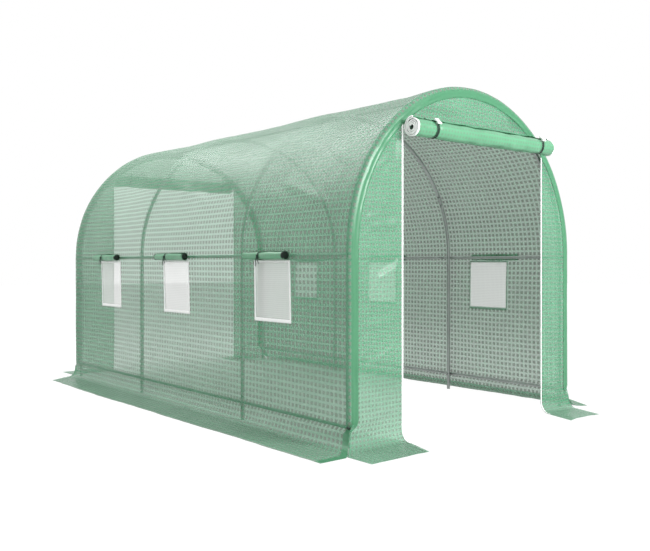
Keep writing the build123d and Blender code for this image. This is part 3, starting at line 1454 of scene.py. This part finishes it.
@dataclass
class Scroll:
    """A sheet of film rolled up round an axis that runs along X or Y.

    Attributes:
        centre: the axis's point, in metres.
        axis: the way that the axis runs.
        outward: the way from the axis, away from the tunnel.
        reach: where the roll starts and ends along its axis.
        outer: outside radius.
        core: radius of the empty heart.
        pitch: how far each turn lies inside the last.
        straps: places along the axis where the roll is pulled in.
        squeeze: how far a strap pulls it in, as a share of the radius.
        lumps: height of its unevenness.
        taper: how much thinner its far end is, as a share of the radius.
        seed: which part of the noise is read.
    """

    centre: Vector
    axis: Vector
    outward: Vector
    reach: tuple[float, float]
    outer: float
    core: float
    pitch: float
    straps: tuple[float, ...] = ()
    squeeze: float = 0.12
    lumps: float = 0.002
    taper: float = 0.0
    seed: float = 1.0

    @property
    def wound(self) -> float:
        """Length of sheet in the roll."""
        return math.pi * (self.outer**2 - self.core**2) / self.pitch

    def girth(self, along: float, angle: float) -> float:
        """Share of the full radius at a place on the roll.

        Args:
            along: place along the axis.
            angle: angle round the axis.

        Returns:
            The share.
        """
        pull = sum(math.exp(-(((along - strap) / 0.020) ** 2)) for strap in self.straps)
        spot = Vector((
            along / 0.11 + angle / 4.0, 1.2 * math.cos(angle), 1.2 * math.sin(angle) + self.seed
        ))
        far = (along - self.reach[0]) / (self.reach[1] - self.reach[0])
        uneven = self.lumps * noise.noise(spot) / self.outer
        return 1 - self.squeeze * pull + uneven - self.taper * smooth(0.55, 1.0, far)

    def point(self, along: float, wrap: float, lift: float) -> Vector:
        """Take a place on the sheet to where it lies in the roll.

        Args:
            along: place along the axis.
            wrap: length of sheet from its outer edge.
            lift: distance off the sheet, outwards.

        Returns:
            The point.
        """
        rate = self.pitch / math.tau
        angle = (self.outer - math.sqrt(max(0.0, self.outer**2 - 2 * rate * wrap))) / rate
        radius = (self.outer - rate * angle) * self.girth(along, angle) + lift
        way = self.outward * math.sin(angle) * -1 + UP * math.cos(angle)
        return self.centre + self.axis * along + way * radius

    def line(self, along: float) -> tuple[Vector, Vector, Vector]:
        """The axis at a place along it, and the two directions square to it."""
        return self.centre + self.axis * along, UP, self.outward

    def sheet(self, rows: tuple[int, int]) -> bmesh.types.BMesh:
        """Roll up the whole sheet.

        Args:
            rows: cells along the axis and along the sheet.

        Returns:
            The rolled mesh.
        """
        bm = flat_grid((self.reach[0], 0.0), (self.reach[1], self.wound), rows)
        hang(bm, self.point)
        bmesh.ops.recalc_face_normals(bm, faces=bm.faces)
        return bm

    def band(self, place: float, width: float, lift: float) -> bmesh.types.BMesh:
        """Lay a closed band round the roll.

        Args:
            place: its middle along the axis.
            width: its width.
            lift: its distance off the roll.

        Returns:
            The band's outer face.
        """
        bm = flat_grid((place - width / 2, 0.0), (place + width / 2, math.tau), (4, 48))

        def loop(along: float, angle: float, off: float) -> Vector:
            radius = self.outer * self.girth(along, angle) + off
            way = self.outward * -math.sin(angle) + UP * math.cos(angle)
            return self.centre + self.axis * along + way * radius

        hang(bm, loop, lift)
        bmesh.ops.remove_doubles(bm, verts=bm.verts, dist=1e-5)
        bmesh.ops.recalc_face_normals(bm, faces=bm.faces)
        return bm


@dataclass
class RolledDoor:
    """One door rolled up over its doorway, with its tapes, straps and bows.

    Attributes:
        tunnel: the form that it hangs on.
        end: which end it closes.
        tape_thickness: thickness of the white tape seen in the roll's ends.
        tape_width: how deep the tape lies in the roll.
        strap_width: width of a strap.
        strap_thickness: thickness of a strap.
        strap_rise: how far a strap's tail runs up the gable above the roll.
        half_strap: half the width of the strap in the frame.
        pitch: how far each turn of the door lies inside the last.
        fullness: how much fuller the roll is than its solid in the frame, in radius.
        heart_depth: how far inside the roll's end its heart of painted shade lies.
    """

    tunnel: Tunnel
    end: End
    tape_thickness: float = 0.0072
    tape_width: float = 0.010
    strap_width: float = 0.013
    strap_thickness: float = 0.0016
    strap_rise: float = 0.020
    half_strap: float = 0.013
    pitch: float = 0.0100
    fullness: float = 0.0030
    heart_depth: float = 0.0010

    @property
    def word(self) -> str:
        """The end's name in small letters."""
        return self.end.word

    def scroll(self) -> Scroll:
        """Size the roll from the frame."""
        low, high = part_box(f"{self.word}_door_roll")
        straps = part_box(f"{self.word}_door_straps")
        radius = (high.z - low.z) / 2 + self.fullness
        forward = (low.y + high.y) / 2 + self.end.value * self.fullness
        return Scroll(
            centre=Vector((0.0, forward, (low.z + high.z) / 2)),
            axis=Vector((1.0, 0.0, 0.0)),
            outward=Vector((0.0, float(self.end.value), 0.0)),
            reach=(low.x, high.x),
            outer=radius - 0.0015,
            core=0.010,
            pitch=self.pitch,
            straps=(straps[0].x + self.half_strap, straps[1].x - self.half_strap),
            lumps=0.0055,
            seed=4.0 + self.end.value,
        )

    def build(self, finishes: Finishes) -> None:
        """Make the roll and what holds it.

        Args:
            finishes: the tunnel's finishes.
        """
        roll = self.scroll()
        piece = to_object(
            roll.sheet((72, 160)), f"{self.word}_rolled_door", [finishes.rolled_film]
        )
        thicken(piece, 0.0012)
        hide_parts(f"{self.word}_door_roll")
        tapes = self.edge_turns(roll, "tapes", finishes.tape, 0.0, self.tape_thickness, 0.0015)
        # Between the tape's turns, a dark layer of painted shade stands for the film's edges in
        # the shade inside the roll.
        gap = self.pitch - self.tape_thickness - 0.0004
        turns = self.edge_turns(roll, "turns", finishes.dark_film, self.pitch / 2, gap, -0.0015)
        f"{self.word}_end_cloth"
        self.heart(roll, finishes.dark_film)
        self.straps(roll, finishes.webbing)
        log.info("%s door: %.2f metres rolled up", self.word, roll.wound)

    def heart(self, roll: Scroll, finish: bpy.types.Material) -> None:
        """Fill the roll's hollow heart at both ends with painted shade, a dark tube.

        Args:
            roll: the rolled door.
            finish: the painted shade's finish.
        """
        bm = bmesh.new()
        for end, way in zip(roll.reach, (1, -1)):
            low, high = sorted((end + way * self.heart_depth, end + way * self.tape_width))
            # A dark tube of painted shade in each end, where the roll's hollow heart would be in
            # shade.
            add_tube(bm, roll.line, (low, high), roll.core + 0.0020, 3, 24)
        piece = to_object(bm, f"{self.word}_door_heart", [finish])

    def edge_turns(
        self,
        roll: Scroll,
        kind: str,
        finish: bpy.types.Material,
        inset: float,
        thickness: float,
        proud: float,
    ) -> bpy.types.Object:
        """Wind one layer of the door's two side edges, which show in the ends of the roll.

        Args:
            roll: the rolled door.
            kind: the layer's name.
            finish: the layer's finish.
            inset: how far it lies inside the door film.
            thickness: thickness of the layer.
            proud: how far it stands out of the roll's end.

        Returns:
            The layer at both ends as one piece.
        """
        both = bmesh.new()
        inner = roll.wound * 0.97
        for end, way in zip(roll.reach, (1, -1)):
            low, high = sorted((end - way * proud, end + way * self.tape_width))
            bm = flat_grid((low, 0.0), (high, inner), (2, 170))
            hang(bm, roll.point, -inset)
            bmesh.ops.recalc_face_normals(bm, faces=bm.faces)
            join(both, bm)
        piece = to_object(both, f"{self.word}_door_{kind}", [finish])
        thicken(piece, thickness, offset=0.0)
        return piece

    def straps(self, roll: Scroll, webbing: bpy.types.Material) -> None:
        """Put both straps round the roll, with their tails sewn up the gable.

        Args:
            roll: the rolled door.
            webbing: the straps' finish.
        """
        both = bmesh.new()
        face = self.end.value * (self.tunnel.half_length + 0.003)
        for place in roll.straps:
            join(both, roll.band(place, self.strap_width, self.strap_thickness + 0.0012))
            half = self.strap_width / 2
            foot = roll.centre.z
            top = foot + roll.outer + self.strap_rise
            tail = flat_grid((place - half, foot), (place + half, top), (3, 12))
            hang(tail, lambda x, up, lift: Vector((x, face + self.end.value * lift, up)), 0.002)
            if self.end is End.REAR:
                bmesh.ops.reverse_faces(tail, faces=tail.faces)
            join(both, tail)
        piece = to_object(both, f"{self.word}_roll_straps", [webbing])
        thicken(piece, self.strap_thickness)
        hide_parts(f"{self.word}_door_straps")

    def bows(self, bm: bmesh.types.BMesh) -> None:
        """Add the bow-shaped toggle that closes each strap.

        Args:
            bm: mesh that gets the two bows.
        """
        roll = self.scroll()
        turn = math.radians(45.0)
        facing = roll.outward * math.cos(turn) + UP * math.sin(turn)
        for place in roll.straps:
            girth = roll.outer * roll.girth(place, -turn)
            seat = roll.centre + roll.axis * place + facing * (girth + 0.009)
            frame_turn = facing.to_track_quat("Z", "X").to_matrix().to_4x4()
            where = Matrix.Translation(seat) @ frame_turn
            for spin_to in (0.5, -0.5, math.pi - 0.5, math.pi + 0.5):
                lobe = ring(0.0042, 0.0090, 10, 20)
                bmesh.ops.scale(lobe, vec=(1.1, 0.7, 1.4), verts=lobe.verts)
                bmesh.ops.translate(lobe, vec=(0.0110, 0.0, 0.0), verts=lobe.verts)
                tilt = Matrix.Rotation(spin_to, 4, "Z")
                bmesh.ops.transform(lobe, matrix=where @ tilt, verts=lobe.verts)
                join(bm, lobe)
            bmesh.ops.create_uvsphere(
                bm, u_segments=14, v_segments=10, radius=0.0068,
                matrix=where @ Matrix.Diagonal((0.9, 1.2, 0.9, 1.0)),
            )


@dataclass
class Window:
    """One net window with its tape frame, rolled flap and tie.

    Attributes:
        tunnel: the form that it is cut in.
        cover: the cloth that it is sewn to.
        side: which side of the tunnel.
        number: its place from the front.
        edging: width of the tape frame at its sides and top.
        hem: width of the tape frame at its foot.
        flap_outer: outside radius of the rolled flap.
        tie_width: width of the tie's tape.
        tie_drop: length of the tie's tails.
    """

    tunnel: Tunnel
    cover: MainCover
    side: Side
    number: int
    edging: float = 0.013
    hem: float = 0.021
    flap_outer: float = 0.0255
    tie_width: float = 0.010
    tie_drop: float = 0.062

    @property
    def word(self) -> str:
        """The window's name."""
        return f"{self.side.word}_{('front', 'middle', 'rear')[self.number]}_window"

    def box_of(self, kind: str) -> tuple[Vector, Vector]:
        """Corners of the CAD node that holds this side's three of a kind.

        Args:
            kind: the node's last word, such as nets.

        Returns:
            The lowest and highest corner of the whole node.
        """
        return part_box(f"{self.side.word}_window_{kind}")

    def span(self, kind: str) -> tuple[float, float]:
        """Where this window's part of a node starts and ends along Y.

        Args:
            kind: the node's last word, such as nets.

        Returns:
            The low and high end.
        """
        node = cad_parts[f"{self.side.word}_window_{kind}"]
        runs: list[list[float]] = []
        for y in sorted(round(vert.co.y, 5) for vert in node.data.vertices):
            if runs and y - runs[-1][1] < 0.45:
                runs[-1][1] = y
            else:
                runs.append([y, y])
        return runs[self.number][0], runs[self.number][1]

    @property
    def opening(self) -> tuple[Flat, Flat]:
        """The opening as two corners on the cover's cut."""
        low, high = self.box_of("nets")
        start, end = self.span("nets")
        top = self.side.value * self.tunnel.height_to_run(high.z)
        sill = self.side.value * self.tunnel.height_to_run(low.z)
        return (min(top, sill), start), (max(top, sill), end)

    def build(self, finishes: Finishes) -> None:
        """Make the net and the rolled flap.

        Args:
            finishes: the tunnel's finishes.
        """
        self.net(finishes.net)
        self.flap(finishes)
        log.info("%s in place", self.word)

    def net(self, finish: bpy.types.Material) -> None:
        """Fill the opening with net.

        Args:
            finish: the net's finish.
        """
        low, high = self.opening
        margin = 0.006
        low = (low[0] - margin, low[1] - margin)
        high = (high[0] + margin, high[1] + margin)
        bm = flat_grid(low, high, (26, 26))
        hang(bm, self.cover.point, -0.0015)
        piece = to_object(bm, f"{self.word}_net", [finish])
        thicken(piece, 0.0006)
        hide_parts(f"{self.side.word}_window_nets")

    def frame(self, finish: bpy.types.Material) -> bpy.types.Object:
        """Sew a tape frame round the opening.

        Args:
            finish: the tape's finish.

        Returns:
            The frame.
        """
        low, high = self.opening
        rim = self.edging
        below, above = (self.hem, rim) if self.side is Side.LEFT else (rim, self.hem)
        bm = flat_grid(
            (low[0] - below, low[1] - rim), (high[0] + above, high[1] + rim), (40, 40)
        )
        cut_hole(bm, low, high)
        hang(bm, self.cover.point, 0.0016)
        piece = to_object(bm, f"{self.word}_frame", [finish])
        thicken(piece, 0.0012)
        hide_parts(f"{self.side.word}_window_edging")
        return piece

    def flap(self, finishes: Finishes) -> None:
        """Roll the flap up over the net and tie it.

        Args:
            finishes: the tunnel's finishes.
        """
        low, high = self.box_of("flaps")
        start, end = self.span("flaps")
        tie_low, tie_high = self.span("ties")
        place = (tie_low + tie_high) / 2
        roll = Scroll(
            centre=Vector(((low.x + high.x) / 2, 0.0, (low.z + high.z) / 2)),
            axis=Vector((0.0, 1.0, 0.0)),
            outward=Vector((float(self.side.value), 0.0, 0.0)),
            reach=(start, end),
            outer=self.flap_outer,
            core=0.0125,
            pitch=0.0042,
            straps=(place,),
            squeeze=0.16,
            lumps=0.0035,
            taper=0.12,
            seed=9.0 + self.number * self.side.value,
        )
        piece = to_object(
            roll.sheet((44, 84)), f"{self.word}_rolled_flap", [finishes.rolled_film]
        )
        thicken(piece, 0.0009)
        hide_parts(f"{self.side.word}_window_flaps")
        self.heart(roll, finishes.dark_film)
        self.tie(roll, place, finishes.webbing)

    def heart(self, roll: Scroll, finish: bpy.types.Material) -> None:
        """Fill both ends of the roll with painted shade, a dark tube that stands for the flap's
        inner turns in shade.

        Args:
            roll: the rolled flap.
            finish: the painted shade's finish.
        """
        bm = bmesh.new()
        low, high = roll.reach
        rim = 0.0022
        # Painted shade: a dark tube just inside each end, leaving a thin green rim of the roll.
        add_tube(bm, roll.line, (low - 0.0006, low + 0.02), roll.outer - rim, 3, 28)
        far = roll.outer * (1 - roll.taper) - rim
        add_tube(bm, roll.line, (high - 0.02, high + 0.0006), far, 3, 28)
        piece = to_object(bm, f"{self.word}_flap_heart", [finish])

    def tie(self, roll: Scroll, place: float, finish: bpy.types.Material) -> None:
        """Tie the rolled flap, with a knot and two short tails in front.

        Args:
            roll: the rolled flap.
            place: where the tie is, along the roll.
            finish: the tie's finish.
        """
        bm = roll.band(place, self.tie_width, 0.0020)
        front = roll.outer * (1 - roll.squeeze) + 0.0035
        knot = roll.centre + roll.axis * place + roll.outward * front
        bmesh.ops.create_uvsphere(
            bm, u_segments=12, v_segments=8, radius=0.009,
            matrix=Matrix.Translation(knot) @ Matrix.Diagonal((0.7, 1.0, 0.8, 1.0)),
        )
        half = self.tie_width * 0.4
        for lean, drop in ((-0.35, self.tie_drop), (0.25, self.tie_drop * 0.75)):
            tail = flat_grid((-half, -drop), (half, 0.0), (2, 10))

            def fall(across: float, down: float, lift: float, lean: float = lean) -> Vector:
                swing = lean * down + across
                curl = 0.004 * math.sin(-down / 0.012)
                return (
                    knot + roll.axis * swing + roll.outward * (curl + lift)
                    + Vector((0.0, 0.0, down))
                )

            hang(tail, fall)
            join(bm, tail)
        piece = to_object(bm, f"{self.word}_tie", [finish])
        thicken(piece, 0.0012, offset=0.0)
        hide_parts(f"{self.side.word}_window_ties")


@dataclass
class Studio:
    """Camera, floor and soft light.

    Attributes:
        camera_place: where the camera stands.
        camera_yaw: turn from +Y towards +X, in degrees.
        lens: focal length, in millimetres on a 36 mm sensor.
        rise: vertical shift of the picture.
        floor_size: side of the floor.
        sky: strength of the light from all round.
        floor_glow: share of the floor that is plain white where it is looked at.
        floor_glow_through_film: the same where it is looked at through film.
        floor_glow_under_film: the same inside the tunnel and under its skirts.
        flag: strength of the backdrop behind the right wall, where a grey flag stands.
    """

    camera_place: tuple[float, float, float] = (-3.7439, -4.9107, 0.9792)
    camera_yaw: float = 39.7
    lens: float = 44.0
    rise: float = -0.0188
    floor_size: float = 60.0
    sky: float = 0.86
    floor_glow: float = 0.86
    floor_glow_through_film: float = 0.15
    floor_glow_under_film: float = 0.04
    flag: float = 0.68

    def build(self, under_film: Flat) -> None:
        """Set up the whole studio.

        Args:
            under_film: half the width and half the length of floor that the film covers.
        """
        self.camera()
        self.world()
        self.floor(under_film)
        self.lamp("key_softbox", (0.9, -6.2, 2.9), (-0.2, -1.6, 1.3), 1.6, 275.0)
        self.lamp("top_softbox", (-0.9, 2.2, 5.4), (0.0, 0.2, 1.2), 4.5, 185.0)

    def camera(self) -> None:
        """Stand the camera where the reference was seen from."""
        data = bpy.data.cameras.new("camera")
        data.lens = self.lens
        data.sensor_width = 36.0
        data.shift_y = self.rise
        camera = bpy.data.objects.new("camera", data)
        camera.location = self.camera_place
        camera.rotation_euler = (math.radians(90), 0.0, -math.radians(self.camera_yaw))
        bpy.context.scene.collection.objects.link(camera)
        bpy.context.scene.camera = camera

    def world(self) -> None:
        """Light the tunnel from all round, with a white backdrop behind it."""
        world = bpy.data.worlds.new("studio")
        world.use_nodes = True
        tree = world.node_tree
        tree.nodes.clear()
        heading = add_node(tree, "ShaderNodeTexCoord").outputs["Generated"]
        axes = add_node(tree, "ShaderNodeSeparateXYZ", {0: heading})
        behind = add_node(
            tree,
            "ShaderNodeMapRange",
            {0: axes.outputs[0], 1: 0.56, 2: 0.70, 3: 1.0, 4: self.flag},
        ).outputs[0]
        through = add_node(tree, "ShaderNodeLightPath").outputs["Transparent Depth"]
        shown = add_node(
            tree, "ShaderNodeMapRange", {0: through, 3: 1.0, 4: behind}
        ).outputs[0]
        strength = add_node(
            tree, "ShaderNodeMapRange", {0: self.seen(tree), 3: self.sky, 4: shown}
        ).outputs[0]
        backdrop = add_node(
            tree, "ShaderNodeBackground", {"Color": (1, 1, 1, 1), "Strength": strength}
        ).outputs[0]
        add_node(tree, "ShaderNodeOutputWorld", {"Surface": backdrop})
        bpy.context.scene.world = world

    def seen(self, tree: bpy.types.NodeTree) -> bpy.types.NodeSocket:
        """1 for rays that look at the backdrop, straight or through gloss or glass."""
        path = add_node(tree, "ShaderNodeLightPath")
        names = ("Is Camera Ray", "Is Glossy Ray", "Is Transmission Ray")
        total = path.outputs[names[0]]
        for name in names[1:]:
            total = add_node(
                tree, "ShaderNodeMath", {0: total, 1: path.outputs[name]}, operation="MAXIMUM"
            ).outputs[0]
        return total

    def beneath(
        self, tree: bpy.types.NodeTree, under_film: Flat
    ) -> bpy.types.NodeSocket:
        """1 on the floor that the film covers, and 0 beyond it.

        Args:
            tree: the floor's node tree.
            under_film: half the width and half the length of that floor.

        Returns:
            The share.
        """
        place = add_node(tree, "ShaderNodeTexCoord").outputs["Object"]
        axes = add_node(tree, "ShaderNodeSeparateXYZ", {0: place})
        shares = []
        for axis, reach in enumerate(under_film):
            away = add_node(
                tree, "ShaderNodeMath", {0: axes.outputs[axis]}, operation="ABSOLUTE"
            ).outputs[0]
            shares.append(
                add_node(
                    tree, "ShaderNodeMapRange", {0: away, 1: reach, 2: reach + 0.1, 3: 1, 4: 0}
                ).outputs[0]
            )
        return add_node(
            tree, "ShaderNodeMath", {0: shares[0], 1: shares[1]}, operation="MULTIPLY"
        ).outputs[0]

    def floor(self, under_film: Flat) -> None:
        """Lay a plain white floor that keeps a soft shadow.

        Args:
            under_film: half the width and half the length of floor that the film covers.
        """
        half = self.floor_size / 2
        bm = flat_grid((-half, -half), (half, half), (1, 1))
        mesh = bpy.data.meshes.new("floor")
        bm.to_mesh(mesh)
        bm.free()
        floor = bpy.data.objects.new("floor", mesh)
        bpy.context.scene.collection.objects.link(floor)
        material, tree = new_material("white_floor")
        paint = add_node(
            tree, "ShaderNodeBsdfDiffuse", {"Color": linear("#D8D8D8")}
        ).outputs[0]
        glow = add_node(
            tree, "ShaderNodeEmission", {"Color": (1, 1, 1, 1), "Strength": 1.12}
        ).outputs[0]
        through = add_node(tree, "ShaderNodeLightPath").outputs["Transparent Depth"]
        veiled = add_node(
            tree,
            "ShaderNodeMapRange",
            {
                0: self.beneath(tree, under_film),
                3: self.floor_glow_through_film,
                4: self.floor_glow_under_film,
            },
        ).outputs[0]
        most = add_node(
            tree, "ShaderNodeMapRange", {0: through, 3: self.floor_glow, 4: veiled}
        ).outputs[0]
        share = add_node(
            tree, "ShaderNodeMath", {0: self.seen(tree), 1: most}, operation="MULTIPLY"
        ).outputs[0]
        close_surface(
            tree, add_node(tree, "ShaderNodeMixShader", {0: share, 1: paint, 2: glow}).outputs[0]
        )
        mesh.materials.append(material)

    def lamp(
        self,
        name: str,
        place: tuple[float, float, float],
        aim: tuple[float, float, float],
        size: float,
        power: float,
    ) -> None:
        """Hang one softbox.

        Args:
            name: the lamp's name.
            place: where it hangs.
            aim: what it points at.
            size: side of its square face.
            power: its power, in watts.
        """
        data = bpy.data.lights.new(name, "AREA")
        data.shape = "SQUARE"
        data.size = size
        data.energy = power
        lamp = bpy.data.objects.new(name, data)
        lamp.location = place
        lamp.rotation_euler = (Vector(aim) - Vector(place)).to_track_quat("-Z", "Y").to_euler()
        bpy.context.scene.collection.objects.link(lamp)


FRONT_CREASES = (
    Crease((-0.900, 0.640), (-0.690, 0.660), 0.006, 0.020),
    Crease((-0.880, 0.420), (-0.660, 0.520), 0.007, 0.022),
    Crease((-0.900, 1.450), (-0.700, 1.560), 0.006, 0.020),
    Crease((-0.880, 0.140), (-0.650, 0.190), 0.006, 0.018),
    Crease((-0.836, 1.184), (-0.633, 1.196), 0.007, 0.022),
    Crease((-0.865, 1.221), (-0.747, 1.252), 0.005, 0.016),
    Crease((-0.790, 0.895), (-0.600, 0.975), 0.008, 0.024),
    Crease((-0.800, 0.935), (-0.610, 1.025), -0.006, 0.022),
    Crease((-0.420, 1.925), (-0.120, 1.885), 0.010, 0.030),
    Crease((-0.490, 1.848), (-0.124, 1.822), -0.008, 0.022),
    Crease((-0.299, 1.800), (0.145, 1.815), 0.007, 0.020),
    Crease((0.200, 1.935), (0.300, 1.880), 0.008, 0.022),
    Crease((0.330, 1.870), (0.430, 1.800), -0.009, 0.024),
)


def main() -> None:
    """Build the tunnel's pieces in order."""
    logging.basicConfig(level=logging.INFO, format="%(message)s")
    bpy.context.scene.view_settings.view_transform = "Standard"
    bpy.context.scene.cycles.transparent_max_bounces = 16
    bpy.context.scene.cycles.max_bounces = 6
    bpy.context.scene.cycles.diffuse_bounces = 3
    finishes = Finishes.make()
    tunnel = Tunnel.from_frame()
    Studio().build((tunnel.skirt_tip, tunnel.end_tip))
    Steelwork(tunnel).build(finishes)
    cover = MainCover(tunnel)
    windows = [Window(tunnel, cover, side, number) for side in Side for number in range(3)]
    cover.openings = [window.opening for window in windows]
    frames = [window.frame(finishes.tape) for window in windows]
    cover.build(frames, finishes.wall_film)
    for window in windows:
        window.build(finishes)
    bows = bmesh.new()
    for end, creases in ((End.FRONT, FRONT_CREASES), (End.REAR, ())):
        door = (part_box(f"{end.word}_left_panel")[1].x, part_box(f"{end.word}_right_panel")[0].x)
        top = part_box(f"{end.word}_left_panel")[1].z
        crumple = Crumple(
            seed=11.3, swell=0.010, swell_size=0.28, ripple=0.0032, ripple_size=0.09,
            creases=creases,
        )
        drift = 0.095 if end is End.FRONT else -0.030
        cloth = EndCloth(tunnel, end, door, top, crumple, drift=drift)
        cloth.build(finishes.end_film, finishes.tape)
        rolled = RolledDoor(tunnel, end)
        rolled.build(finishes)
        rolled.bows(bows)
    for face in bows.faces:
        face.smooth = True
    piece = to_object(bows, "strap_bows", [finishes.white_plastic])
    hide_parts("strap_clips")


if __name__ == "__main__":
    main()
